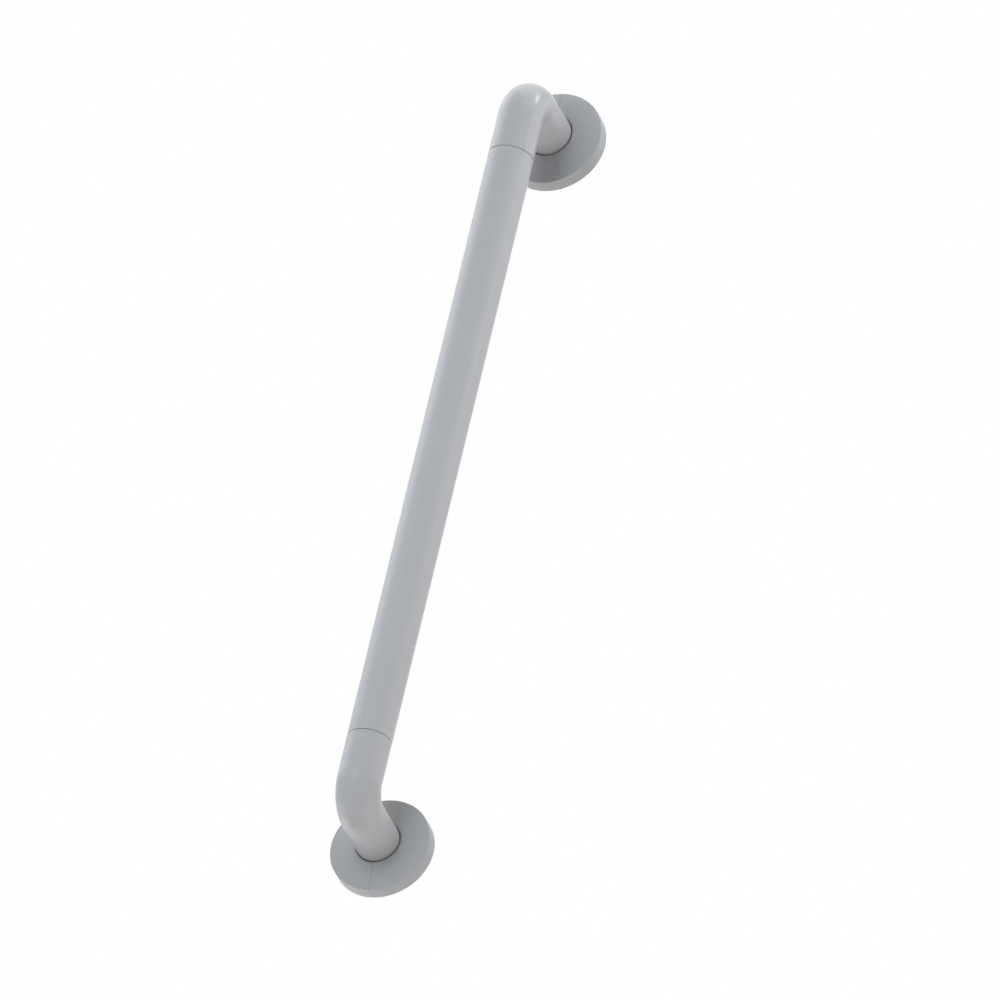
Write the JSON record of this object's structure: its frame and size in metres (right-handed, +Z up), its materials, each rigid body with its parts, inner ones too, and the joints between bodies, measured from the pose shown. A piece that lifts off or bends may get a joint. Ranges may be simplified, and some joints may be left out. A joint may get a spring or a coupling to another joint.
{
  "type": "grab bar",
  "caption": "Straight round nylon grab bar on a steel core, with tight elbows at both ends and round clip-on covers split in halves over its wall flanges.",
  "frame": {"origin": "centre of the lower flange's screw circle, on the wall plane", "axes": "+Z up along the bar, +Y into the wall, +X to the right as seen from the room"},
  "size_m": [0.076, 0.085, 0.676],
  "materials": {
    "nylon": "satin light grey",
    "cover_nylon": "satin light grey",
    "plated_steel": "zinc plated",
    "core_steel": "drawn tube",
    "cast_aluminium": "as cast"
  },
  "bodies": {
    "root": {"grip_tube": "nylon", "core_tube": "core_steel", "lower_elbow": "nylon", "lower_corner_core": "cast_aluminium", "lower_grub_screw": "plated_steel", "lower_wall_flange": "plated_steel", "lower_flange_bolt": "plated_steel", "lower_lock_washer": "plated_steel", "lower_locating_pin": "plated_steel", "lower_left_cover": "cover_nylon", "lower_right_cover": "cover_nylon", "upper_elbow": "nylon", "upper_corner_core": "cast_aluminium", "upper_grub_screw": "plated_steel", "upper_wall_flange": "plated_steel", "upper_flange_bolt": "plated_steel", "upper_lock_washer": "plated_steel", "upper_locating_pin": "plated_steel", "upper_left_cover": "cover_nylon", "upper_right_cover": "cover_nylon"}
  },
  "joints": []
}
